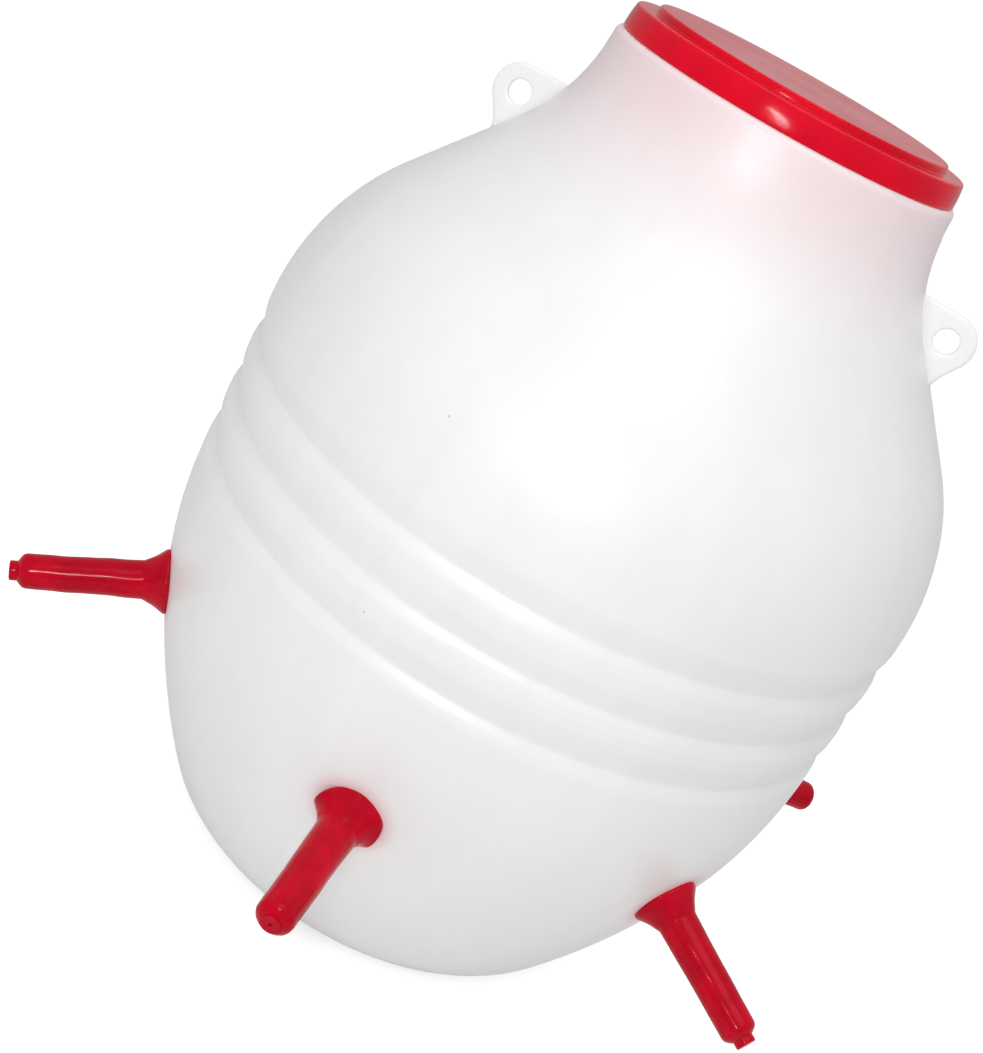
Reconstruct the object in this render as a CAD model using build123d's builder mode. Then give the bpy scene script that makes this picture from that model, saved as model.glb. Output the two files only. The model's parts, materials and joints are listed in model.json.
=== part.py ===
from build123d import *
import os
from math import asin, cos, degrees, radians, sin

# Hanging milk feeder for lambs and kids: a blow-moulded tank with two hanging lugs, a push-in lid
# and a ring of rubber teats, each with a ball valve. Millimetres, +Z up.
# The origin is the centre of the foot that the tank stands on. The lugs lie along X.

# ---- Driving dimensions ----
TANK_R = 150.0  # widest radius of the tank
TANK_HEIGHT = 378.0  # foot to rim
WALL = 2.5  # blow-moulded wall

PUSH_UP = 5.0  # rise of the domed centre of the base
FOOT_INNER_R = 62.0  # inner edge of the flat ring that the tank stands on
CORNER_R, CORNER_TURN = 37.0, 59.0  # rounded corner above the foot, radius and degrees
FLANK_R, FLANK_TURN = 350.0, 12.0  # long gentle stretch above the corner
WAIST_R, WAIST_TURN = 198.0, 19.0  # stretch that turns upright, and carries the teats

GROOVE_Z = (162.5, 185.5, 208.5)  # deepest line of each groove
GROOVE_DEPTH = 2.6
GROOVE_BELOW, GROOVE_ABOVE = 5.0, 10.3  # steep lower side and gentle upper side
GROOVE_ROUNDS = (9.0, 2.5, 15.0)  # lower edge, deepest line, upper edge

SHOULDER_GAP = 2.5  # upright stretch between the top groove and the shoulder
SHOULDER_R, SHOULDER_TURN = 105.0, 40.0
NECK_FLARE_R, NECK_TAPER = 75.0, 3.0  # hollow curve into the neck, and the neck's own slope
NECK_BASE_R, NECK_TOP_R = 74.9, 74.4  # outer radius above the hollow curve, and at the rim
RIM_ROUND = 3.0
MOUTH_R = 66.0  # opening inside the turned-in rim

LID_R = 72.7  # flat outer ring of the lid
LID_RING_HEIGHT = 9.9
LID_DISC_R = 63.4  # raised middle of the lid
LID_HEIGHT = 12.9
LID_WALL = 2.5
PLUG_R = 65.4  # skirt that pushes into the mouth
PLUG_DEPTH = 14.0
LID_EDGE_ROUND = 1.6
PLUG_LEAD_IN = 1.2

EYE_X, EYE_Z = 98.5, 334.0  # centre of each lug's eye
EYE_R = 5.0
LUG_LOBE_R = 11.8
LUG_LOBE_TURN = 125.0  # degrees of round lobe, from the top round to the lower side
LUG_THICKNESS = 3.6
LUG_ROOT_REACH = 40.0  # how far in from the eye the tab starts, well inside the wall
LUG_WAIST = (5.5, -18.0)  # narrowest point of the tab, from the eye
LUG_FOOT = (13.5, -33.0)  # where the tab runs out into the shoulder, from the eye
LUG_FOOT_FALL = 1.1  # slope at which it runs out

TEAT_COUNT = 6
TEAT_Z = 95.0  # height at which a teat's axis leaves the wall
TEAT_HOLE_R = 8.5
TEAT_LENGTH = 64.0  # wall to tip
SKIRT_R, SKIRT_LENGTH = 13.6, 9.8
SKIRT_LIP = 0.8  # thickness of the skirt's edge
TUBE_ROOT_R, TUBE_TIP_R = 7.9, 7.25
NUB_R, NUB_LENGTH, NUB_ROUND = 4.2, 3.4, 0.5
TIP_DOME_LENGTH = 3.8
TIP_HOLE_R = 0.8
BARB_R, BARB_LENGTH = 11.6, 3.2  # flange that locks behind the wall
BARB_START = -3.4  # just behind the curved wall
SOCKET_R = 5.5  # bore that grips the valve seat
MILK_BORE_R = 4.6
BORE_STEP = 1.5  # length over which the bore changes radius

SEAT_TOP, SEAT_END = -9.2, 6.5  # ends of the seat's barrel along the teat's axis
SEAT_FLANGE_R, SEAT_FLANGE = 8.2, 1.8  # flange on the teat's inner end
PORT_R = 2.0  # milk hole under the ball
CONE_START, CONE_END = -1.6, -0.2  # 45 degree cone that the ball seals on
LIP_R, LIP_THICKNESS = 2.4, 1.0  # lip that keeps the ball in its chamber
LIP_SLOT = 1.4  # width of the two crossed slots that let milk past the ball
BALL_R = 3.0
CHAMBER_R = 3.4  # space round the ball
BALL_GAP = 0.3  # clearance that stays at both ends of the ball's travel

# ---- Derived dimensions ----
FLANK_START = CORNER_TURN
WAIST_START = CORNER_TURN + FLANK_TURN
RISE_TO_UPRIGHT = (
    CORNER_R * (1 - cos(radians(FLANK_START)))
    + FLANK_R * (cos(radians(FLANK_START)) - cos(radians(WAIST_START)))
    + WAIST_R * cos(radians(WAIST_START))
)
FOOT_OUTER_R = TANK_R - (
    CORNER_R * sin(radians(FLANK_START))
    + FLANK_R * (sin(radians(WAIST_START)) - sin(radians(FLANK_START)))
    + WAIST_R * (1 - sin(radians(WAIST_START)))
)
TEAT_TILT = asin((RISE_TO_UPRIGHT - TEAT_Z) / WAIST_R)  # the wall's own slope at the teats
TEAT_WALL_R = TANK_R - WAIST_R * (1 - cos(TEAT_TILT))
TEAT_AZIMUTHS = [radians(360 / TEAT_COUNT * i) for i in range(TEAT_COUNT)]
TUBE_END = TEAT_LENGTH - NUB_LENGTH - TIP_DOME_LENGTH
LIP_START = SEAT_END - LIP_THICKNESS
BALL_REST = LIP_START - (BALL_R**2 - LIP_R**2) ** 0.5 - BALL_GAP
CONE_APEX = CONE_START - PORT_R
BALL_TRAVEL = BALL_REST - CONE_APEX - (BALL_R + BALL_GAP) * 2**0.5


def groove_corners():
    """Corners of the grooved stretch of wall, from the lowest groove up."""
    corners = []
    for z in GROOVE_Z:
        corners += [
            (TANK_R, z - GROOVE_BELOW),
            (TANK_R - GROOVE_DEPTH, z),
            (TANK_R, z + GROOVE_ABOVE),
        ]
    return corners


def teat_plane(azimuth):
    """Plane through a teat's axis: local x runs out along the axis from the wall's surface."""
    outward = Vector(
        sin(azimuth) * cos(TEAT_TILT), -cos(azimuth) * cos(TEAT_TILT), -sin(TEAT_TILT)
    )
    sideways = Vector(cos(azimuth), sin(azimuth), 0)
    on_wall = (TEAT_WALL_R * sin(azimuth), -TEAT_WALL_R * cos(azimuth), TEAT_Z)
    return Plane(origin=on_wall, x_dir=outward, z_dir=sideways)


def across_teat(azimuth):
    """Plane square to a teat's axis, on the wall's surface, facing out."""
    along = teat_plane(azimuth)
    return Plane(origin=along.origin, x_dir=along.z_dir, z_dir=along.x_dir)


def teat_axis(azimuth):
    along = teat_plane(azimuth)
    return Axis(along.origin, along.x_dir)


def circles_of(builder, radius):
    """Circular edges of one radius in a part being built."""
    circles = builder.edges().filter_by(GeomType.CIRCLE)
    return circles.filter_by(lambda edge: abs(edge.radius - radius) < 0.01)


def finish(part, name):
    part.label = name
    export_step(part, f"parts/{name}.step")


os.makedirs("parts", exist_ok=True)

# ---- Tank ----
# Half section of the outer form, from the middle of the base round to the middle of the top.
with BuildSketch(Plane.XZ) as outer_section:
    with BuildLine():
        dome = TangentArc((0, PUSH_UP), (FOOT_INNER_R, 0), tangent=(1, 0))
        foot = Line(dome @ 1, (FOOT_OUTER_R, 0))
        corner = JernArc(foot @ 1, foot % 1, CORNER_R, CORNER_TURN)
        flank = JernArc(corner @ 1, corner % 1, FLANK_R, FLANK_TURN)
        waist = JernArc(flank @ 1, flank % 1, WAIST_R, WAIST_TURN)
        shoulder_start = (TANK_R, GROOVE_Z[-1] + GROOVE_ABOVE + SHOULDER_GAP)
        FilletPolyline(
            waist @ 1,
            *groove_corners(),
            shoulder_start,
            radius=list(GROOVE_ROUNDS) * len(GROOVE_Z),
        )
        shoulder = JernArc(shoulder_start, (0, 1), SHOULDER_R, SHOULDER_TURN)
        flare_width = NECK_FLARE_R * (cos(radians(NECK_TAPER)) - cos(radians(SHOULDER_TURN)))
        slope_width = (shoulder @ 1).X - flare_width - NECK_BASE_R
        slope_end = shoulder @ 1 + (shoulder % 1) * (slope_width / sin(radians(SHOULDER_TURN)))
        slope = Line(shoulder @ 1, slope_end)
        flare = JernArc(slope @ 1, slope % 1, NECK_FLARE_R, NECK_TAPER - SHOULDER_TURN)
        neck = Line(flare @ 1, (NECK_TOP_R, TANK_HEIGHT))
        Line(neck @ 1, (0, TANK_HEIGHT))
        Line((0, TANK_HEIGHT), (0, PUSH_UP))
    make_face()
    rim_corner = outer_section.vertices().group_by(Axis.Y)[-1].sort_by(Axis.X)[-1]
    fillet(rim_corner, RIM_ROUND)
    foot_corner = outer_section.vertices().group_by(Axis.Y)[0].sort_by(Axis.X)[0]
    fillet(foot_corner, RIM_ROUND)

# Solid outer form, which trims the lugs and skirts to the wall. It isn't a piece itself.
with BuildPart() as envelope:
    add(outer_section.sketch)
    revolve(axis=Axis.Z)

with BuildPart() as tank:
    add(envelope.part)
    offset(amount=-WALL, mode=Mode.SUBTRACT)
    with BuildSketch(Plane.XY.offset(TANK_HEIGHT)):
        Circle(MOUTH_R)
    extrude(amount=-2 * WALL, mode=Mode.SUBTRACT)
    fillet(circles_of(tank, MOUTH_R), WALL / 4)
    with BuildSketch(*[across_teat(a) for a in TEAT_AZIMUTHS]):
        Circle(TEAT_HOLE_R)
    extrude(amount=3 * WALL, both=True, mode=Mode.SUBTRACT)
finish(tank.part, "tank")

# ---- Hanging lugs ----
# A flat tab in the parting plane: round lobe, level top edge, hollow lower edge.
with BuildPart() as right_hanging_lug:
    with BuildSketch(Plane.XZ):
        with BuildLine():
            root_x = EYE_X - LUG_ROOT_REACH
            top = Line((root_x, EYE_Z + LUG_LOBE_R), (EYE_X, EYE_Z + LUG_LOBE_R))
            lobe = CenterArc((EYE_X, EYE_Z), LUG_LOBE_R, 90, -LUG_LOBE_TURN)
            waist_point = (EYE_X + LUG_WAIST[0], EYE_Z + LUG_WAIST[1])
            foot_point = (EYE_X + LUG_FOOT[0], EYE_Z + LUG_FOOT[1])
            run_out = (1, -LUG_FOOT_FALL)
            hollow = Spline(lobe @ 1, waist_point, foot_point, tangents=(lobe % 1, run_out))
            bottom = Line(hollow @ 1, (root_x, foot_point[1]))
            Line(bottom @ 1, top @ 0)
        make_face()
    extrude(amount=LUG_THICKNESS / 2, both=True)
    with BuildSketch(Plane.XZ):
        with Locations((EYE_X, EYE_Z)):
            Circle(EYE_R)
    extrude(amount=LUG_THICKNESS, both=True, mode=Mode.SUBTRACT)
    add(envelope.part, mode=Mode.SUBTRACT)
finish(right_hanging_lug.part, "right_hanging_lug")

with BuildPart() as left_hanging_lug:
    mirror(right_hanging_lug.part, about=Plane.YZ)
finish(left_hanging_lug.part, "left_hanging_lug")

# ---- Lid ----
with BuildPart() as lid:
    with BuildSketch(Plane.XZ):
        ring_top = TANK_HEIGHT + LID_RING_HEIGHT
        lid_top = TANK_HEIGHT + LID_HEIGHT
        plug_end = TANK_HEIGHT - PLUG_DEPTH
        with BuildLine():
            Polyline(
                (0, lid_top),
                (LID_DISC_R, lid_top),
                (LID_DISC_R, ring_top),
                (LID_R, ring_top),
                (LID_R, TANK_HEIGHT),
                (LID_R - LID_WALL, TANK_HEIGHT),
                (LID_R - LID_WALL, ring_top - LID_WALL),
                (PLUG_R, ring_top - LID_WALL),
                (PLUG_R, plug_end),
                (PLUG_R - LID_WALL, plug_end),
                (PLUG_R - LID_WALL, ring_top - LID_WALL),
                (LID_DISC_R - LID_WALL, ring_top - LID_WALL),
                (LID_DISC_R - LID_WALL, lid_top - LID_WALL),
                (0, lid_top - LID_WALL),
                close=True,
            )
        make_face()
    revolve(axis=Axis.Z)
    disc_edge = circles_of(lid, LID_DISC_R).sort_by(Axis.Z)[-1]
    fillet(circles_of(lid, LID_R) + [disc_edge], LID_EDGE_ROUND)
    chamfer(circles_of(lid, PLUG_R).sort_by(Axis.Z)[0], PLUG_LEAD_IN)
finish(lid.part, "lid")


# ---- Teats and their valves ----
def build_teat(azimuth):
    """Rubber teat: outer skirt on the wall, neck through the hole, barbed flange inside."""
    with BuildPart() as teat:
        with BuildSketch(teat_plane(azimuth)):
            with BuildLine():
                Polyline(
                    (SEAT_TOP, SOCKET_R),
                    (SEAT_TOP, TEAT_HOLE_R),
                    (BARB_START - BARB_LENGTH, BARB_R),
                    (BARB_START, BARB_R),
                    (BARB_START, TEAT_HOLE_R),
                    (WALL / 4, TEAT_HOLE_R),
                    (SKIRT_LENGTH / 3, TEAT_HOLE_R + SKIRT_LIP),
                    (0, SKIRT_R - SKIRT_LIP),
                    (-SKIRT_LIP, SKIRT_R),
                    (SKIRT_LIP, SKIRT_R),
                    (SKIRT_LENGTH, TUBE_ROOT_R),
                    (TUBE_END, TUBE_TIP_R),
                )
                tip_dome = TangentArc(
                    (TUBE_END, TUBE_TIP_R), (TUBE_END + TIP_DOME_LENGTH, NUB_R), tangent=(1, 0)
                )
                Polyline(
                    tip_dome @ 1,
                    (TEAT_LENGTH - NUB_ROUND, NUB_R),
                    (TEAT_LENGTH, NUB_R - NUB_ROUND),
                    (TEAT_LENGTH, TIP_HOLE_R),
                    (TUBE_END, TIP_HOLE_R),
                    (TUBE_END - MILK_BORE_R, MILK_BORE_R),
                    (SEAT_END + BORE_STEP, MILK_BORE_R),
                    (SEAT_END, SOCKET_R),
                    (SEAT_TOP, SOCKET_R),
                )
            make_face()
        revolve(axis=teat_axis(azimuth))
        add(tank.part, mode=Mode.SUBTRACT)
    return teat.part


def build_valve_seat(azimuth):
    """Hard bush pressed into the teat: flange, milk hole, cone for the ball, slotted end lip."""
    flange_back = SEAT_TOP - SEAT_FLANGE
    with BuildPart() as valve_seat:
        with BuildSketch(teat_plane(azimuth)):
            with BuildLine():
                Polyline(
                    (flange_back, PORT_R),
                    (flange_back, SEAT_FLANGE_R),
                    (SEAT_TOP, SEAT_FLANGE_R),
                    (SEAT_TOP, SOCKET_R),
                    (SEAT_END, SOCKET_R),
                    (SEAT_END, LIP_R),
                    (LIP_START, LIP_R),
                    (LIP_START, CHAMBER_R),
                    (CONE_END, CHAMBER_R),
                    (CONE_START, PORT_R),
                    close=True,
                )
            make_face()
        revolve(axis=teat_axis(azimuth))
        with BuildSketch(across_teat(azimuth).offset(LIP_START)):
            SlotOverall(2 * CHAMBER_R, LIP_SLOT)
            SlotOverall(2 * CHAMBER_R, LIP_SLOT, rotation=90)
        extrude(amount=2 * LIP_THICKNESS, mode=Mode.SUBTRACT)
    return valve_seat.part


def build_valve_ball(azimuth):
    """Loose ball, at rest at the low, outer end of its chamber."""
    with BuildPart() as valve_ball:
        with BuildSketch(teat_plane(azimuth)):
            with BuildLine():
                CenterArc((BALL_REST, 0), BALL_R, 0, 180)
                Line((BALL_REST - BALL_R, 0), (BALL_REST + BALL_R, 0))
            make_face()
        revolve(axis=teat_axis(azimuth))
    return valve_ball.part


for number, azimuth in enumerate(TEAT_AZIMUTHS, start=1):
    finish(build_teat(azimuth), f"teat_{number}")
    finish(build_valve_seat(azimuth), f"valve_seat_{number}")
    finish(build_valve_ball(azimuth), f"valve_ball_{number}")

print("teat tilt, degrees:", round(degrees(TEAT_TILT), 3))
print("ball travel, mm:", round(BALL_TRAVEL, 3))
print("foot outer radius, mm:", round(FOOT_OUTER_R, 2))
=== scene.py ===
import json
import math
import random

import bmesh
import bpy
import numpy as np
from mathutils import Matrix, Vector
from mathutils.bvhtree import BVHTree
from mathutils.geometry import delaunay_2d_cdt


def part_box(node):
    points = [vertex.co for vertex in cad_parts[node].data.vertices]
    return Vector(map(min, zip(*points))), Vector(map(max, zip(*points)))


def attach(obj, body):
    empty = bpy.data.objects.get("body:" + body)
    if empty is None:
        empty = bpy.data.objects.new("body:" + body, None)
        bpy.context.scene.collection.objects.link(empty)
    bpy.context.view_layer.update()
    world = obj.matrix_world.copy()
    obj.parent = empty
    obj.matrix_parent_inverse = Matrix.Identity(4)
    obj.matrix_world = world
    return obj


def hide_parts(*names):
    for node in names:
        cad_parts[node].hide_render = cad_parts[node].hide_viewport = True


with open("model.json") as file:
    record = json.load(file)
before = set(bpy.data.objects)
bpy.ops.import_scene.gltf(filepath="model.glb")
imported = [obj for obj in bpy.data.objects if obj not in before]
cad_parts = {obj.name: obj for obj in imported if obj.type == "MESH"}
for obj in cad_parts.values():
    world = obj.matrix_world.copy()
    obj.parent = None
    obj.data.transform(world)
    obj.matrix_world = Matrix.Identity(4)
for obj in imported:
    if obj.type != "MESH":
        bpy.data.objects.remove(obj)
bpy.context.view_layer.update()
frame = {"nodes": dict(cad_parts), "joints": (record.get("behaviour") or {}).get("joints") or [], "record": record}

# A hanging milk feeder for lambs: milky plastic tank, red lid, six red rubber teats.
# Blender works in metres. Outlines are written in millimetres and scaled by MM.
MM = 0.001
UP = Vector((0, 0, 1))

# ---- Places read from the frame ----
nodes = frame["nodes"]
TANK_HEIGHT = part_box("tank")[1].z
TANK_MIDDLE = Vector((0, 0, TANK_HEIGHT / 2))
LID_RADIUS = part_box("lid")[1].x
LID_PLUG_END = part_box("lid")[0].z
LID_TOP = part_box("lid")[1].z
LUG_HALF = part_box("right_hanging_lug")[1].y
MOUNTS = {mount["name"]: mount for mount in frame["record"]["mounts"]}
TEATS = range(1, 7)
BALL_REST = 3.4 * MM  # from the wall out to the middle of a ball at rest


def teat_direction(number):
    """Direction that a teat points in: its ball travels the other way."""
    for joint in frame["joints"]:
        if joint["name"] == f"ball_{number}_travel":
            return -Vector(joint["axis"])


def teat_root(number):
    """Point where a teat's axis leaves the wall."""
    low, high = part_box(f"valve_ball_{number}")
    return (low + high) / 2 - teat_direction(number) * BALL_REST


TEAT_ROOT_Z = teat_root(1).z
TEAT_ROOT_RADIUS = teat_root(1).xy.length
TEAT_TILT = math.asin(-teat_direction(1).z)

# ---- Camera ----
# The feeder stands upright. The camera looks down on it from the front and is rolled to one side.
CAMERA_DISTANCE = 0.6312
CAMERA_OVER_RIM = 0.0542
CAMERA_AZIMUTH = math.radians(4.2)
CAMERA_TILT = math.radians(22.88)
CAMERA_PAN = math.radians(-1.98)
CAMERA_ROLL = math.radians(29.4)
LENS_MM = 56.96
SENSOR_MM = 36


def add_camera():
    data = bpy.data.cameras.new("camera")
    data.lens = LENS_MM
    data.sensor_fit = "HORIZONTAL"
    data.sensor_width = SENSOR_MM
    camera = bpy.data.objects.new("camera", data)
    bpy.context.scene.collection.objects.link(camera)
    heading = CAMERA_PAN - CAMERA_AZIMUTH
    forward = Vector((math.sin(heading), math.cos(heading), -math.tan(CAMERA_TILT))).normalized()
    level_right = forward.cross(UP).normalized()
    level_up = level_right.cross(forward)
    right = level_right * math.cos(CAMERA_ROLL) + level_up * math.sin(CAMERA_ROLL)
    up = level_up * math.cos(CAMERA_ROLL) - level_right * math.sin(CAMERA_ROLL)
    place = Vector((math.sin(CAMERA_AZIMUTH), -math.cos(CAMERA_AZIMUTH), 0)) * CAMERA_DISTANCE
    place.z = TANK_HEIGHT + CAMERA_OVER_RIM
    turned = Matrix((right, up, -forward)).transposed().to_4x4()
    camera.matrix_world = Matrix.Translation(place) @ turned
    bpy.context.scene.camera = camera
    return camera


# ---- The tank's wall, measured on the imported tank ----
FAR = 0.5  # rays start this far out, well clear of the feeder
tank_mesh = nodes["tank"].data
tank_tree = BVHTree.FromPolygons(
    [vertex.co for vertex in tank_mesh.vertices],
    [tuple(face.vertices) for face in tank_mesh.polygons],
)


def wall_radius(height):
    """Outer radius of the tank at a height, measured on its side, where there is no teat."""
    hit = tank_tree.ray_cast(Vector((FAR, 0, height)), Vector((-1, 0, 0)))[0]
    return hit.x


def wall_outline(first_angle, last_angle, count):
    """Points (radius, height) on the wall, as seen from the tank's middle between two angles."""
    outline = []
    for angle in np.radians(np.linspace(first_angle, last_angle, count)):
        outward = Vector((math.cos(angle), 0, math.sin(angle)))
        hit = tank_tree.ray_cast(TANK_MIDDLE + outward * FAR, -outward)[0]
        outline.append(Vector((hit.x, hit.z)))
    return outline


# ---- Shader building ----
def feed(tree, socket, value):
    """Links a socket to another node's output, or sets it to a plain value."""
    if isinstance(value, bpy.types.NodeSocket):
        tree.links.new(value, socket)
    else:
        socket.default_value = value


def add_node(tree, kind, inputs, **settings):
    made = tree.nodes.new("ShaderNode" + kind)
    for name, value in settings.items():
        setattr(made, name, value)
    for name, value in inputs.items():
        feed(tree, made.inputs[name], value)
    return made


def new_material(name):
    """A material with its node tree, its shader and the position on the object."""
    material = bpy.data.materials.new(name)
    material.use_nodes = True
    tree = material.node_tree
    position = add_node(tree, "TexCoord", {}).outputs["Object"]
    return material, tree, tree.nodes["Principled BSDF"], position


def calc(tree, operation, *values):
    return add_node(tree, "Math", dict(enumerate(values)), operation=operation).outputs[0]


def stretched(tree, position, scales):
    """The position scaled on each axis, so that noise on it runs long and thin."""
    made = add_node(tree, "VectorMath", {0: position, 1: scales}, operation="MULTIPLY")
    return made.outputs[0]


def noise(tree, position, scale, detail=3.0):
    inputs = {"Vector": position, "Scale": scale, "Detail": detail}
    return add_node(tree, "TexNoise", inputs).outputs[0]


def spread(tree, value, low, high, to_low=0.0, to_high=1.0):
    """Turns a value from low to high into one from to_low to to_high, with soft ends."""
    inputs = {0: value, 1: low, 2: high, 3: to_low, 4: to_high}
    return add_node(tree, "MapRange", inputs, interpolation_type="SMOOTHSTEP").outputs[0]


def mixed(tree, share, first, second):
    return add_node(tree, "Mix", {0: share, 6: first, 7: second}, data_type="RGBA").outputs[2]


def bumped(tree, height, depth, under=None):
    """Normal of a height pattern as deep as depth in metres, on top of an earlier normal."""
    inputs = {"Height": height, "Distance": depth}
    if under:
        inputs["Normal"] = under
    return add_node(tree, "Bump", inputs).outputs[0]


def let_light_in(shader, weight, radius, scale):
    """Subsurface scatter of a milky plastic or rubber."""
    shader.inputs["Subsurface Weight"].default_value = weight
    shader.inputs["Subsurface Radius"].default_value = radius
    shader.inputs["Subsurface Scale"].default_value = scale


# ---- Milky plastic ----
TANK_LIGHT, TANK_DULL = (0.895, 0.893, 0.893, 1), (0.865, 0.860, 0.858, 1)
TANK_SPECULAR = 1.0
LUG_LIGHT, LUG_DULL = (0.96, 0.96, 0.96, 1), (0.94, 0.94, 0.935, 1)
# Painted red light: pink on the wall below the rim, standing for the red lid's light that shows through the wall
# and bounces onto it.
PAINTED_BOUNCE_BY_LID = (0.94, 0.70, 0.73, 1)
# Painted shade and red light: a darker pink round each teat's root, standing for the teat's shadow and its red
# light bouncing onto the wall.
PAINTED_SHADE_AND_BOUNCE_BY_TEAT = (0.87, 0.66, 0.68, 1)
PAINTED_LID_BOUNCE_REACH = 0.075  # how far down from the rim the wall looks pink
PAINTED_TEAT_SHADE_FROM, PAINTED_TEAT_SHADE_TO = 0.0135, 0.0235  # distances from a teat's axis
PAINTED_LID_BOUNCE_FALL, PAINTED_TEAT_SHADE_FALL = 1.6, 2.0  # powers over 1 make each glow fade fast at first
SPECK_GREY = (0.30, 0.29, 0.28, 1)
SPECKS = ((-15.0, 251.0), (-11.8, 173.5))  # degrees round from the front, millimetres up
SPECK_RADIUS = 0.0006
SPECK_STRENGTH = 0.5


def distance_from_teat(tree, position):
    """Distance along the wall to the nearest teat's axis. The teats repeat every 60 degrees."""
    parts = add_node(tree, "SeparateXYZ", {0: position})
    backwards = calc(tree, "MULTIPLY", parts.outputs["Y"], -1.0)
    azimuth = calc(tree, "ARCTAN2", parts.outputs["X"], backwards)
    beside = calc(tree, "PINGPONG", azimuth, math.pi / len(TEATS))
    beside = calc(tree, "MULTIPLY", beside, TEAT_ROOT_RADIUS)
    above = calc(tree, "SUBTRACT", parts.outputs["Z"], TEAT_ROOT_Z)
    above = calc(tree, "DIVIDE", above, math.cos(TEAT_TILT))
    total = calc(tree, "MULTIPLY_ADD", beside, beside, calc(tree, "MULTIPLY", above, above))
    return calc(tree, "SQRT", total)


def with_painted_red_light(tree, position, clouds, color):
    """Painted red light on the milky wall: pink below the rim, where the red lid's light shows through and
    bounces, and painted pink shade round each teat.
    """
    height = add_node(tree, "SeparateXYZ", {0: position}).outputs["Z"]
    # painted red light below the rim, from the lid
    painted_lid_bounce = spread(tree, height, TANK_HEIGHT - PAINTED_LID_BOUNCE_REACH, TANK_HEIGHT)
    painted_lid_bounce = calc(tree, "POWER", painted_lid_bounce, PAINTED_LID_BOUNCE_FALL)
    painted_lid_bounce = calc(tree, "MULTIPLY", painted_lid_bounce, spread(tree, clouds, 0.3, 0.7, 0.6, 1.0))
    color = mixed(tree, painted_lid_bounce, color, PAINTED_BOUNCE_BY_LID)
    # painted pink shade and red light round each teat
    away = distance_from_teat(tree, position)
    painted_teat_shade = spread(tree, away, PAINTED_TEAT_SHADE_TO, PAINTED_TEAT_SHADE_FROM)
    painted_teat_shade = calc(tree, "POWER", painted_teat_shade, PAINTED_TEAT_SHADE_FALL)
    return mixed(tree, painted_teat_shade, color, PAINTED_SHADE_AND_BOUNCE_BY_TEAT)


def with_specks(tree, position, color):
    """Two specks of dust moulded into the wall."""
    for degrees, height_mm in SPECKS:
        turn, height = math.radians(degrees), height_mm * MM
        out = wall_radius(height)
        place = (out * math.sin(turn), -out * math.cos(turn), height)
        away = add_node(tree, "VectorMath", {0: position, 1: place}, operation="DISTANCE")
        away = away.outputs["Value"]
        mask = spread(tree, away, SPECK_RADIUS / 2, SPECK_RADIUS, SPECK_STRENGTH, 0.0)
        color = mixed(tree, mask, color, SPECK_GREY)
    return color


def milky_plastic(name, light, dull, painted_light_and_specks=False):
    """Blow-moulded natural polyethylene: cloudy, with faint flow lines and a satin skin."""
    material, tree, shader, position = new_material(name)
    clouds = noise(tree, position, 11.0, 4.0)
    flow = noise(tree, stretched(tree, position, (70, 70, 5)), 1.0)
    cloudiness = calc(tree, "MULTIPLY_ADD", flow, 0.4, calc(tree, "MULTIPLY", clouds, 0.6))
    color = mixed(tree, spread(tree, cloudiness, 0.35, 0.65), light, dull)
    if painted_light_and_specks:
        # painted red light and shade beside the lid and teats, then real dust specks
        color = with_painted_red_light(tree, position, clouds, color)
        color = with_specks(tree, position, color)
    feed(tree, shader.inputs["Base Color"], color)
    grain = noise(tree, position, 60.0, 4.0)
    feed(tree, shader.inputs["Roughness"], spread(tree, grain, 0.3, 0.7, 0.38, 0.44))
    shader.inputs["Specular IOR Level"].default_value = TANK_SPECULAR
    let_light_in(shader, 0.25, (1.0, 0.9, 0.85), 4 * MM)
    waves = bumped(tree, noise(tree, position, 16.0, 1.0), 0.7 * MM)
    lines = bumped(tree, flow, 0.06 * MM, waves)
    skin = bumped(tree, noise(tree, position, 900.0, 2.0), 0.018 * MM, lines)
    feed(tree, shader.inputs["Normal"], skin)
    return material


# ---- Red plastic and rubber ----
LID_RED, LID_DEEP_RED = (0.80, 0.0006, 0.020, 1), (0.64, 0.0005, 0.016, 1)
SCUFFED_RED = (0.80, 0.10, 0.12, 1)
RUBBER_RED, RUBBER_DEEP_RED = (0.56, 0.0004, 0.017, 1), (0.43, 0.0003, 0.012, 1)
LID_SPECULAR, RUBBER_SPECULAR = 0.16, 0.10


def red_plastic(name):
    """Injection-moulded lid: glossy, with fine scuffs from being pushed in and pulled off."""
    material, tree, shader, position = new_material(name)
    clouds = noise(tree, position, 30.0, 4.0)
    color = mixed(tree, spread(tree, clouds, 0.35, 0.7), LID_RED, LID_DEEP_RED)
    scratches = noise(tree, stretched(tree, position, (260, 1500, 300)), 1.0, 2.0)
    scuffs = spread(tree, scratches, 0.68, 0.78, 0.0, 0.5)
    patches = spread(tree, noise(tree, position, 45.0, 2.0), 0.52, 0.68)
    color = mixed(tree, calc(tree, "MULTIPLY", scuffs, patches), color, SCUFFED_RED)
    feed(tree, shader.inputs["Base Color"], color)
    feed(tree, shader.inputs["Roughness"], spread(tree, clouds, 0.3, 0.7, 0.10, 0.18))
    shader.inputs["Specular IOR Level"].default_value = LID_SPECULAR
    let_light_in(shader, 0.08, (1.0, 0.15, 0.15), 3 * MM)
    waves = bumped(tree, noise(tree, position, 40.0, 1.0), 0.35 * MM)
    skin = bumped(tree, noise(tree, position, 700.0, 2.0), 0.012 * MM, waves)
    feed(tree, shader.inputs["Normal"], bumped(tree, scratches, 0.015 * MM, skin))
    return material


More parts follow.
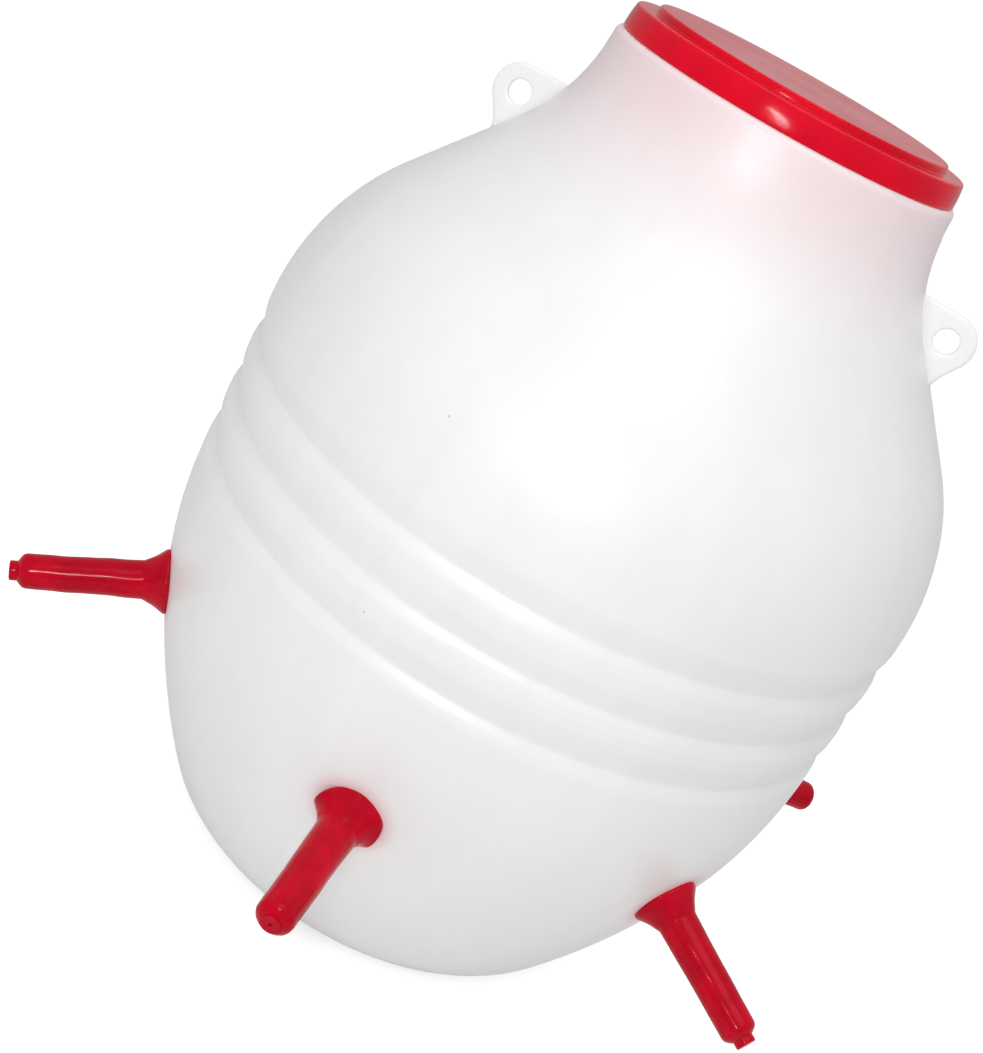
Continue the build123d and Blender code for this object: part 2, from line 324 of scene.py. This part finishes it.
def red_rubber(name):
    """Soft moulded rubber: glossy and uneven, a little deeper red in places."""
    material, tree, shader, position = new_material(name)
    clouds = noise(tree, position, 90.0)
    color = mixed(tree, spread(tree, clouds, 0.3, 0.7), RUBBER_RED, RUBBER_DEEP_RED)
    feed(tree, shader.inputs["Base Color"], color)
    feed(tree, shader.inputs["Roughness"], spread(tree, clouds, 0.3, 0.7, 0.09, 0.14))
    shader.inputs["Specular IOR Level"].default_value = RUBBER_SPECULAR
    let_light_in(shader, 0.12, (1.0, 0.1, 0.1), 2 * MM)
    waves = bumped(tree, noise(tree, position, 90.0, 1.0), 0.03 * MM)
    skin = bumped(tree, noise(tree, position, 1600.0, 2.0), 0.012 * MM, waves)
    feed(tree, shader.inputs["Normal"], skin)
    return material


# ---- Valve plastic and steel ----
IVORY, CREAM = (0.84, 0.82, 0.76, 1), (0.76, 0.73, 0.66, 1)
BRIGHT_STEEL, DULL_STEEL = (0.74, 0.74, 0.75, 1), (0.60, 0.60, 0.61, 1)


def ivory_plastic(name):
    """Hard turned bush with a fine grain."""
    material, tree, shader, position = new_material(name)
    grain = noise(tree, position, 400.0)
    feed(tree, shader.inputs["Base Color"], mixed(tree, grain, IVORY, CREAM))
    feed(tree, shader.inputs["Roughness"], spread(tree, grain, 0.3, 0.7, 0.25, 0.38))
    feed(tree, shader.inputs["Normal"], bumped(tree, grain, 0.02 * MM))
    return material


def polished_steel(name):
    """Ball with fine rub marks."""
    material, tree, shader, position = new_material(name)
    rubbed = noise(tree, stretched(tree, position, (900, 2600, 900)), 1.0)
    feed(tree, shader.inputs["Base Color"], mixed(tree, rubbed, BRIGHT_STEEL, DULL_STEEL))
    shader.inputs["Metallic"].default_value = 1.0
    feed(tree, shader.inputs["Roughness"], spread(tree, rubbed, 0.3, 0.7, 0.08, 0.22))
    feed(tree, shader.inputs["Normal"], bumped(tree, rubbed, 0.004 * MM))
    return material


# ---- Mesh building ----
ARC_STEP = 15  # most degrees between the points of a rounded corner
ON_AXIS = 1e-9  # a radius under this is a single point on the axis


def dress(obj, material):
    obj.data.materials.clear()
    obj.data.materials.append(material)


def make_piece(name, points, faces, material, body):
    """Smooth closed mesh that rides on a body and is dressed in the given material."""
    mesh = bpy.data.meshes.new(name)
    mesh.from_pydata(points, [], faces)
    shell = bmesh.new()
    shell.from_mesh(mesh)
    bmesh.ops.recalc_face_normals(shell, faces=shell.faces)
    for face in shell.faces:
        face.smooth = True
    shell.to_mesh(mesh)
    shell.free()
    piece = bpy.data.objects.new(name, mesh)
    bpy.context.scene.collection.objects.link(piece)
    dress(piece, material)
    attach(piece, body)
    return piece


def corner_arc(before, corner, after, radius):
    """Points of the arc that rounds a corner between two straight runs."""
    back, on = (before - corner).normalized(), (after - corner).normalized()
    turn = math.pi - back.angle(on)
    middle = corner + (back + on).normalized() * (radius / math.cos(turn / 2))
    start = corner + back * (radius * math.tan(turn / 2)) - middle
    side = math.copysign(1, back.y * on.x - back.x * on.y)
    steps = max(2, round(math.degrees(turn) / ARC_STEP))
    return [middle + Matrix.Rotation(side * turn * k / steps, 2) @ start for k in range(steps + 1)]


def rounded(corners, closed):
    """Outline through (x, y, radius) corners, each rounded by its radius."""
    places = [Vector(corner[:2]) for corner in corners]
    points = []
    for i, (here, (_, _, radius)) in enumerate(zip(places, corners)):
        at_end = not closed and i in (0, len(corners) - 1)
        if at_end or radius == 0:
            points.append(here)
        else:
            points += corner_arc(places[i - 1], here, places[(i + 1) % len(places)], radius)
    return points


def divided(points, closed, step):
    """The same outline with no run longer than step."""
    ends = points[1:] + (points[:1] if closed else [])
    result = []
    for start, end in zip(points, ends):
        pieces = max(1, math.ceil((end - start).length / step))
        result += [start.lerp(end, k / pieces) for k in range(pieces)]
    return result if closed else result + points[-1:]


def spun(outline, segments, place, closed):
    """Points and faces of the skin that an outline sweeps round an axis.

    place(along, radius, turn) puts a point in space. An open outline starts and ends on the axis.
    """
    points, rings, faces = [], [], []
    for along, radius in outline:
        count = 1 if radius < ON_AXIS else segments
        rings.append([len(points) + k for k in range(count)])
        points += [place(along, radius, math.tau * k / segments) for k in range(count)]
    next_rings = rings[1:] + (rings[:1] if closed else [])
    for first, second in zip(rings, next_rings):
        for k in range(segments):
            corners = [first[k % len(first)], first[(k + 1) % len(first)]]
            corners += [second[(k + 1) % len(second)], second[k % len(second)]]
            faces.append(tuple(dict.fromkeys(corners)))
    return points, faces


# ---- Teats ----
TEAT_SEGMENTS = 120
TEAT_LENGTH = 64.0
SKIRT_RADIUS = 13.6
SKIRT_END = 9.8  # where the skirt has narrowed to the tube
NUB_START, NUB_RADIUS = 60.4, 4.2
NECK_RADIUS = 8.5  # the part of the teat that sits in the wall's hole
BARB_END, BARB_START = -9.2, -2.8  # the collar that holds the teat behind the wall
BARB_RADIUS = 11.6
BORE_RADIUS, SOCKET_RADIUS = 4.6, 5.5  # inside the tube, and round the hard bush
MILK_HOLE_RADIUS = 0.5
WALL_BEND_ROUND, WALL_BEND_UP = 142.6, 198.0  # radii of the wall that the skirt lies on
STIFF_LENGTH = 6.5  # held straight by the hard bush inside
BEND_LENGTH = 10.0  # the lean comes in over about this length
MOULD_LINE_HEIGHT = 0.15
MOULD_LINE_HALF = 0.07  # half of its width, in radians round the tube
SKIRT_WIDER, SKIRT_OVAL, SKIRT_LOBES = 0.01, 0.02, 0.014  # shares of the skirt's radius
LONG_WAVE, SHORT_WAVE = (0.12, 0.22), (0.05, 0.53)  # on the tube: height, then radians per mm
TEAT_STEP = 1.2  # longest run between the points of its outline
# Each teat's lean sideways and up in degrees, the share of its nub that stands out, how far its
# skirt curls off the wall in mm, and where round the skirt the curl is, in degrees.
TEAT_SHAPES = {
    1: (1.0, 4.0, 0.22, 2.8, 165),
    2: (0.4, 0.2, 0.90, 0.4, 20),
    3: (-0.2, 10.5, 0.12, 0.8, 60),
    4: (-1.5, -0.6, 0.9, 1.2, 130),
    5: (0.6, -1.0, 0.95, 0.5, 80),
    6: (0.0, -0.2, 1.0, 0.7, 40),
}
# Closed half section: outside from the skirt to the tip, back down the bore, then round the barb.
TEAT_OUTLINE = (  # along, radius, corner radius
    (-0.5, SKIRT_RADIUS, 0.3),
    (1.1, SKIRT_RADIUS, 0.6),
    (5.2, 10.6, 12.0),
    (SKIRT_END, 8.3, 2.0),
    (30.0, 7.75, 60.0),
    (58.4, 7.4, 3.0),
    (NUB_START, 4.8, 0.8),
    (60.7, NUB_RADIUS, 0.3),
    (TEAT_LENGTH, NUB_RADIUS, 0.7),
    (TEAT_LENGTH, 0.8, 0.2),
    (63.0, MILK_HOLE_RADIUS, 0.3),
    (57.0, MILK_HOLE_RADIUS, 0.4),
    (52.5, BORE_RADIUS, 2.0),
    (8.0, BORE_RADIUS, 1.0),
    (6.5, SOCKET_RADIUS, 0.2),
    (BARB_END, SOCKET_RADIUS, 0.3),
    (BARB_END, NECK_RADIUS, 0.8),
    (-6.4, BARB_RADIUS, 0.9),
    (BARB_START, BARB_RADIUS, 0.4),
    (BARB_START, NECK_RADIUS, 0.2),
    (0.6, NECK_RADIUS, 0.3),
    (3.3, 9.3, 0.4),
    (0.0, 12.7, 0.3),
)


def skirt_share(along, radius):
    """How much a point belongs to the thin skirt: 1 at its edge, 0 on the tube and in the hole."""
    if along < -1:
        return 0.0
    return max(0.0, (radius - NECK_RADIUS) / (SKIRT_RADIUS - NECK_RADIUS))


def mould_line(turn):
    """Height of the thin flash line that the mould leaves on both sides."""
    aside = abs(math.remainder(turn, math.pi))
    return MOULD_LINE_HEIGHT * max(0.0, 1 - aside / MOULD_LINE_HALF)


def wave(along, shape, start):
    height, rate = shape
    return height * math.sin(along * rate + start)


def uneven_radius(along, radius, turn, fold, ripple):
    """Radius with the folds of the skirt, and with the waves and mould lines of the tube."""
    folds = SKIRT_OVAL * math.sin(2 * turn + fold) + SKIRT_LOBES * math.sin(5 * turn) + SKIRT_WIDER
    waves = wave(along, LONG_WAVE, ripple) + wave(along, SHORT_WAVE, fold)
    on_tube = min(1.0, max(0.0, (along - 1) / 6)) * min(1.0, max(0.0, radius - 5))
    folded = radius * (1 + skirt_share(along, radius) * folds)
    return folded + on_tube * (waves * math.cos(turn - ripple) + mould_line(turn))


def teat_placer(number):
    """Function that puts a point (along, radius, turn) of one teat in space, lean and all."""
    outward = teat_direction(number)
    sideways = UP.cross(outward).normalized()
    upwards = outward.cross(sideways)
    root = teat_root(number)
    lean_side, lean_up, nub_share, curl_height, curl_turn = TEAT_SHAPES[number]
    lean = sideways * math.radians(lean_side) + upwards * math.radians(lean_up)
    draw = random.Random(number)
    fold, ripple = draw.uniform(0, math.tau), draw.uniform(0, math.tau)

    def place(along, radius, turn):
        along = min(along, NUB_START) + max(0.0, along - NUB_START) * nub_share
        skirt = skirt_share(along, radius)
        radius = uneven_radius(along, radius, turn, fold, ripple)
        side, lift = radius * math.cos(turn), radius * math.sin(turn)
        on_wall = max(0.0, 1 - max(0.0, along) / SKIRT_END)
        sag = (side**2 / WALL_BEND_ROUND + lift**2 / WALL_BEND_UP) / 2 * on_wall
        near_curl = max(0.0, math.cos(2 * (turn - math.radians(curl_turn))))
        curl = curl_height * skirt**2 * near_curl**2
        bent = max(0.0, along - STIFF_LENGTH)
        slope = bent * (bent + 2 * BEND_LENGTH) / (bent + BEND_LENGTH) ** 2
        axis = (outward + lean * slope).normalized()
        across = (sideways - axis * sideways.dot(axis)).normalized()
        over = axis.cross(across)
        middle = root + (outward * (along - sag + curl) + lean * bent**2 / (bent + BEND_LENGTH)) * MM
        return middle + (across * side + over * lift) * MM

    return place


def add_teats(rubber):
    outline = divided(rounded(TEAT_OUTLINE, closed=True), closed=True, step=TEAT_STEP)
    for number in TEATS:
        points, faces = spun(outline, TEAT_SEGMENTS, teat_placer(number), closed=True)
        teat = make_piece(f"teat_{number}_rubber", points, faces, rubber, "tank")
        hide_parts(f"teat_{number}")


# ---- Lid ----
LID_SEGMENTS = 256
LID_STEP = 1.6  # longest run between the points of its outline
LID_WALL = 2.5
RING_TOP = 9.9  # top of the lid's flat outer ring, above the tank's rim
DISC_RADIUS = 63.4
PLUG_RADIUS = 65.4
BEAD = 0.35  # height of the plug's sealing bead
DISH = 0.35  # the middle of the lid sinks by this much


def lid_outline():
    """Half section of the lid, from the middle of its top round to the middle of its underside."""
    top = (LID_TOP - TANK_HEIGHT) / MM
    under_top = top - LID_WALL
    plug_end = (LID_PLUG_END - TANK_HEIGHT) / MM
    edge = LID_RADIUS / MM
    under_ring = RING_TOP - LID_WALL
    corners = (  # radius, height over the rim, corner radius
        (0, top - DISH, 0),
        (DISC_RADIUS / 2, top - DISH * 0.6, 60),
        (DISC_RADIUS - 0.5, top, 0.9),
        (DISC_RADIUS - 0.12, RING_TOP + 1.2, 12),
        (DISC_RADIUS, RING_TOP, 0.3),
        (edge - 1.3, RING_TOP, 1.2),
        (edge - 0.3, RING_TOP / 2, 30),
        (edge, 0, 0.5),
        (edge - LID_WALL, 0, 0.4),
        (edge - LID_WALL, under_ring, 0.8),
        (PLUG_RADIUS, under_ring, 0.5),
        (PLUG_RADIUS, -7.5, 1.0),
        (PLUG_RADIUS + BEAD, -8.8, 0.8),
        (PLUG_RADIUS, -10.2, 1.0),
        (PLUG_RADIUS - 0.9, plug_end, 0.6),
        (PLUG_RADIUS - LID_WALL, plug_end, 0.6),
        (PLUG_RADIUS - LID_WALL, under_ring, 0.5),
        (DISC_RADIUS - LID_WALL, under_ring, 0.6),
        (DISC_RADIUS - LID_WALL, under_top, 1.2),
        (0, under_top, 0),
    )
    outline = divided(rounded(corners, closed=False), closed=False, step=LID_STEP)
    return [(height, radius) for radius, height in outline]


def add_lid(plastic):
    def place(along, radius, turn):
        from_rim = Vector((radius * math.cos(turn), radius * math.sin(turn), along)) * MM
        return from_rim + UP * TANK_HEIGHT

    points, faces = spun(lid_outline(), LID_SEGMENTS, place, closed=False)
    lid = make_piece("lid_moulding", points, faces, plastic, "lid")
    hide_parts("lid")


# ---- Hanging lugs ----
# A lug is a flat tab in the plane y = 0. Its outline is (distance from the axis, height) in mm.
LOBE_RADIUS = 11.8
LOBE_END = -35  # degrees at which the round lobe runs into the hollow lower edge
LUG_FOOT = Vector((13.5, -33.0))  # where the hollow edge runs out in the wall, from the eye
LUG_FOOT_FALL = 1.1  # slope at which it runs out
LEAVE_REACH, ARRIVE_REACH = 17, 14  # how far the hollow edge keeps the direction of each end
LUG_FILLET = 3.2  # radius where the tab flares into the wall
FLARE_SHARE = 0.75  # below 1, the flare reaches further than its radius
LUG_BURIED = 2.0  # how deep the root sits in the wall
ROOT_GAP = 0.5  # height left free between the hollow edge and the root
LUG_EDGE_ROUND, EYE_ROUND = 1.5, 1.0
ROUNDING_DEPTHS = (0.05, 0.22, 0.5, 0.9, 1.4)  # rows of points that shape a rounded edge
EYE_ROWS = 4  # the eye's smaller rounding needs only the first rows
LUG_STEP, OUTLINE_STEP = 0.9, 0.8  # between points inside the tab, and along its outline
LOBE_POINTS, HOLLOW_POINTS, EYE_POINTS = 30, 24, 48
LUG_WALL = 20, 65  # degrees up from level, seen from the tank's middle, that span a lug's root
LUG_WALL_POINTS = 240
TOUCHING = 1e-3  # a point nearer than this to an edge is on it


def circle_points(middle, radius, first, last, count):
    angles = np.radians(np.linspace(first, last, count))
    return [middle + Vector((math.cos(a), math.sin(a))) * radius for a in angles]


def hollow_edge(start, leave, arrive, foot):
    """Curve from start to foot that sets off towards leave and comes in from arrive."""
    curve = []
    for t in np.linspace(0, 1, HOLLOW_POINTS + 1)[1:]:
        near = start * (1 - t) ** 3 + leave * 3 * t * (1 - t) ** 2
        curve.append(near + arrive * 3 * t**2 * (1 - t) + foot * t**3)
    return curve


def lug_outline(eye, wall):
    """Lobe, hollow lower edge, root inside the wall, then the level top edge back to the lobe."""
    lobe = circle_points(eye, LOBE_RADIUS, 90, LOBE_END, LOBE_POINTS)
    foot = eye + LUG_FOOT
    leave = lobe[-1] + (lobe[-1] - lobe[-2]).normalized() * LEAVE_REACH
    arrive = foot + Vector((-1, LUG_FOOT_FALL)).normalized() * ARRIVE_REACH
    hollow = hollow_edge(lobe[-1], leave, arrive, foot)
    heights, reaches = [p.y for p in wall], [p.x for p in wall]
    hollow = [p for p in hollow if p.x > np.interp(p.y, heights, reaches) - LUG_BURIED / 2]
    top = eye.y + LOBE_RADIUS
    root = []
    for before, here, after in zip(wall, wall[1:], wall[2:]):
        along = (after - before).normalized()
        buried = here + Vector((-along.y, along.x)) * LUG_BURIED
        if hollow[-1].y + ROOT_GAP < buried.y < top:
            root.append(buried)
    return lobe + hollow + root + [Vector((root[-1].x, top))]


def distances(points, loop):
    """Distance from each point to a closed loop."""
    here = np.array([tuple(p) for p in points])[:, None, :]
    start = np.array([tuple(p) for p in loop])[None, :, :]
    run = np.roll(start, -1, axis=1) - start
    share = np.clip(((here - start) * run).sum(2) / (run**2).sum(2), 0, 1)
    return np.linalg.norm(here - start - share[..., None] * run, axis=2).min(1)


def is_inside(point, loop):
    """Whether a closed loop surrounds the point, from how often a level ray crosses the loop."""
    crossings = 0
    for a, b in zip(loop, loop[1:] + loop[:1]):
        if (a.y > point.y) != (b.y > point.y):
            crossings += point.x < a.x + (point.y - a.y) * (b.x - a.x) / (b.y - a.y)
    return crossings % 2 == 1


def in_from(loop, depth):
    """The loop moved sideways into the material, which lies to its right."""
    moved = []
    for before, here, after in zip(loop[-1:] + loop[:-1], loop, loop[1:] + loop[:1]):
        along = (after - before).normalized()
        moved.append(here + Vector((along.y, -along.x)) * depth)
    return moved


def lug_grid(outline, eye_loop):
    """Flat triangle mesh between the outline and the eye, with rows of points along both edges."""
    loops = [in_from(outline, depth) for depth in ROUNDING_DEPTHS]
    loops += [in_from(eye_loop, depth) for depth in ROUNDING_DEPTHS[:EYE_ROWS]]
    candidates = [point for loop in loops for point in loop]
    low = Vector((min(p.x for p in outline), min(p.y for p in outline)))
    high = Vector((max(p.x for p in outline), max(p.y for p in outline)))
    for i, x in enumerate(np.arange(low.x, high.x, LUG_STEP)):
        for y in np.arange(low.y + LUG_STEP / 2 * (i % 2), high.y, LUG_STEP):
            candidates.append(Vector((x, y)))
    room = np.minimum(distances(candidates, outline), distances(candidates, eye_loop))
    roomy = [point for point, gap in zip(candidates, room) if gap > ROUNDING_DEPTHS[0] * 0.9]
    kept = [point for point in roomy if is_inside(point, outline) and not is_inside(point, eye_loop)]
    flat = outline + eye_loop + kept
    first, second = len(outline), len(eye_loop)
    edges = [(k, (k + 1) % first) for k in range(first)]
    edges += [(first + k, first + (k + 1) % second) for k in range(second)]
    points, _, triangles, *_ = delaunay_2d_cdt(flat, edges, [], 1, 1e-6)
    inner = []
    for triangle in triangles:
        centre = (points[triangle[0]] + points[triangle[1]] + points[triangle[2]]) / 3
        if is_inside(centre, outline) and not is_inside(centre, eye_loop):
            inner.append(tuple(triangle))
    return points, inner


def rounding(depth, radius):
    """How far a rounded edge has dropped at a depth in from it."""
    short = radius - min(radius, depth)
    return radius - math.sqrt(radius**2 - short**2)


def lug_half_thickness(point, edge, hole, wall_x):
    """Half of the tab's thickness, with rounded edges and a root that flares into the wall."""
    off_wall = max(0.0, point.x - wall_x) * FLARE_SHARE
    thick = LUG_HALF / MM + rounding(off_wall, LUG_FILLET)
    thick -= rounding(hole, EYE_ROUND)
    return thick * (1 - rounding(edge, LUG_EDGE_ROUND) / LUG_EDGE_ROUND)


def lug_points(grid, to_edge, halves, sign):
    """Points of the tab's two faces, which meet at its outer edge, and where each one is listed."""
    points, front, back = [], [], []
    for point, gap, half in zip(grid, to_edge, halves):
        front.append(len(points))
        points.append(Vector((sign * point.x, -half, point.y)) * MM)
        if gap > TOUCHING:
            points.append(Vector((sign * point.x, half, point.y)) * MM)
        back.append(len(points) - 1)
    return points, front, back


def eye_faces(grid, to_hole, eye, front, back):
    """Faces round the eye's bore, from the front of the tab to its back."""
    ring = [k for k, gap in enumerate(to_hole) if gap < TOUCHING]
    ring.sort(key=lambda k: math.atan2(grid[k].y - eye.y, grid[k].x - eye.x))
    return [(front[a], front[b], back[b], back[a]) for a, b in zip(ring, ring[1:] + ring[:1])]


def add_lug(side, plastic):
    mount = MOUNTS[f"{side}_eye"]
    eye = Vector((abs(mount["pos_m"][0]), mount["pos_m"][2])) / MM
    wall = [point / MM for point in wall_outline(*LUG_WALL, LUG_WALL_POINTS)]
    outline = divided(lug_outline(eye, wall), closed=True, step=OUTLINE_STEP)
    eye_loop = circle_points(eye, mount["dims"]["r_mm"], 0, 360, EYE_POINTS + 1)[:-1]
    grid, triangles = lug_grid(outline, eye_loop)
    to_edge, to_hole = distances(grid, outline), distances(grid, eye_loop)
    walls = np.interp([p.y for p in grid], [p.y for p in wall], [p.x for p in wall])
    halves = [lug_half_thickness(*here) for here in zip(grid, to_edge, to_hole, walls)]
    points, front, back = lug_points(grid, to_edge, halves, 1 if side == "right" else -1)
    faces = [tuple(front[k] for k in triangle) for triangle in triangles]
    faces += [tuple(back[k] for k in reversed(triangle)) for triangle in triangles]
    faces += eye_faces(grid, to_hole, eye, front, back)
    lug = make_piece(f"{side}_lug_moulding", points, faces, plastic, "tank")
    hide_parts(f"{side}_hanging_lug")


# ---- Moulding lines on the tank ----
# Section of the thin ridge that the mould's two halves leave: (aside, out of the wall) in mm.
SEAM_SECTION = (
    (-0.5, -0.3),
    (-0.5, -0.02),
    (-0.27, 0.15),
    (0, 0.22),
    (0.27, 0.15),
    (0.5, -0.02),
    (0.5, -0.3),
)
SEAM_WALL = -66, 67  # degrees up from level, from the foot's corner to below the rim
SEAM_POINTS = 420
PINCH_REACH = 40.0
PINCH_POINTS = 61


def add_ridge(name, line, outwards, plastic):
    """Thin ridge along a line of points in the plane y = 0, standing out of the wall."""
    points, faces = [], []
    width = len(SEAM_SECTION)
    for here, outward in zip(line, outwards):
        for aside, proud in SEAM_SECTION:
            points.append(here + (Vector((0, aside, 0)) + outward * proud) * MM)
    for start in range(0, len(points) - width, width):
        for k in range(width):
            a, b = start + k, start + (k + 1) % width
            faces.append((a, b, b + width, a + width))
    faces.append(tuple(range(width)))
    faces.append(tuple(range(len(points) - width, len(points))))
    make_piece(name, points, faces, plastic, "tank")


def add_parting_line(side, plastic):
    """Line up one side of the tank, from the foot's corner to below the rim."""
    sign = 1 if side == "right" else -1
    wall = wall_outline(*SEAM_WALL, SEAM_POINTS)
    line = [Vector((sign * point.x, 0, point.y)) for point in wall]
    outwards = []
    for before, after in zip(line[:1] + line[:-1], line[1:] + line[-1:]):
        along = (after - before).normalized()
        outwards.append(Vector((sign * along.z, 0, -sign * along.x)))
    add_ridge(f"{side}_parting_line", line, outwards, plastic)


def add_pinch_line(plastic):
    """Weld across the middle of the base, where the mould pinched the plastic tube shut."""
    line = []
    for x in np.linspace(-PINCH_REACH, PINCH_REACH, PINCH_POINTS):
        line.append(tank_tree.ray_cast(Vector((x * MM, 0, -FAR)), UP)[0])
    add_ridge("base_pinch_line", line, [-UP] * len(line), plastic)


# ---- Stage ----
SURROUND = 0.70  # brightness of the room above the feeder
HORIZON = 0.40  # brightness of the room level with the feeder
BRIGHT_FROM = 0.45  # sine of the angle up from level at which the room is at its brightest
SEEN_WHITE = 1.02  # brightness of the empty background itself
FLOOR_HALF = 4
FLOOR_LIGHT, FLOOR_DULL = (0.90, 0.90, 0.90, 1), (0.88, 0.88, 0.88, 1)
FLOOR_LIFT = 0.50  # makes the pale floor as white as the background
STRIP_FROM_LENS = (-0.035, 0.03, 0.02)  # a little left of the lens, above it and behind it
STRIP_TURN = math.radians(30)
STRIP_SIZE = 0.03, 0.16
STRIP_WATTS = 0.98
SOFT_LAMP_PLACE = Vector((0.1, -0.45, 1.5))
SOFT_LAMP_SIZE = 1.0, 1.0
SOFT_LAMP_WATTS = 4.2


def add_world():
    """Plain white studio that dims towards the horizon. Its empty background is seen as white."""
    world = bpy.data.worlds.new("studio")
    bpy.context.scene.world = world
    world.use_nodes = True
    tree = world.node_tree
    seen = add_node(tree, "LightPath", {}).outputs["Is Camera Ray"]
    direction = add_node(tree, "TexCoord", {}).outputs["Generated"]
    height = add_node(tree, "SeparateXYZ", {0: direction}).outputs["Z"]
    room = spread(tree, height, 0.0, BRIGHT_FROM, HORIZON, SURROUND)
    white = calc(tree, "SUBTRACT", SEEN_WHITE, room)
    strength = calc(tree, "MULTIPLY_ADD", seen, white, room)
    background = tree.nodes["Background"]
    background.inputs["Color"].default_value = (1, 1, 1, 1)
    feed(tree, background.inputs["Strength"], strength)


def add_floor():
    mesh = bpy.data.meshes.new("floor")
    corners = [(x * FLOOR_HALF, y * FLOOR_HALF, 0) for x, y in ((-1, -1), (1, -1), (1, 1), (-1, 1))]
    mesh.from_pydata(corners, [], [(0, 1, 2, 3)])
    floor = bpy.data.objects.new("floor", mesh)
    bpy.context.scene.collection.objects.link(floor)
    material, tree, shader, position = new_material("pale_floor")
    pale = mixed(tree, noise(tree, position, 3.0), FLOOR_LIGHT, FLOOR_DULL)
    feed(tree, shader.inputs["Base Color"], pale)
    shader.inputs["Roughness"].default_value = 0.9
    shader.inputs["Specular IOR Level"].default_value = 0.1
    shader.inputs["Emission Color"].default_value = (1, 1, 1, 1)
    seen = add_node(tree, "LightPath", {}).outputs["Is Camera Ray"]
    feed(tree, shader.inputs["Emission Strength"], calc(tree, "MULTIPLY", seen, FLOOR_LIFT))
    dress(floor, material)


def add_lamp(name, placing, width, length, power):
    """Oval lamp that shines along its own -Z."""
    data = bpy.data.lights.new(name, "AREA")
    data.shape = "ELLIPSE"
    data.size = width
    data.size_y = length
    data.energy = power
    lamp = bpy.data.objects.new(name, data)
    lamp.matrix_world = placing
    bpy.context.scene.collection.objects.link(lamp)


def add_lamp_by_camera(camera):
    """Narrow strip beside the lens, which gives the glossy parts their bright lines."""
    placing = Matrix.Translation(STRIP_FROM_LENS) @ Matrix.Rotation(STRIP_TURN, 4, "Z")
    add_lamp("lamp_by_camera", camera.matrix_world @ placing, *STRIP_SIZE, STRIP_WATTS)


def add_lamp_above():
    aim = (TANK_MIDDLE - SOFT_LAMP_PLACE).to_track_quat("-Z", "Y").to_matrix().to_4x4()
    placing = Matrix.Translation(SOFT_LAMP_PLACE) @ aim
    add_lamp("soft_lamp_above", placing, *SOFT_LAMP_SIZE, SOFT_LAMP_WATTS)


# ---- Build ----
camera = add_camera()
view = bpy.context.scene.view_settings
view.view_transform = "Standard"
view.look = "None"

tank_plastic = milky_plastic("milky_tank_plastic", TANK_LIGHT, TANK_DULL, painted_light_and_specks=True)
lug_plastic = milky_plastic("milky_lug_plastic", LUG_LIGHT, LUG_DULL)
bush_plastic = ivory_plastic("ivory_valve_plastic")
steel = polished_steel("polished_ball_steel")

dress(nodes["tank"], tank_plastic)
for number in TEATS:
    dress(nodes[f"valve_seat_{number}"], bush_plastic)
    dress(nodes[f"valve_ball_{number}"], steel)

add_teats(red_rubber("red_teat_rubber"))
add_lid(red_plastic("red_lid_plastic"))
for side in ("left", "right"):
    add_lug(side, lug_plastic)
    add_parting_line(side, tank_plastic)
add_pinch_line(tank_plastic)

add_world()
add_floor()
add_lamp_by_camera(camera)
add_lamp_above()
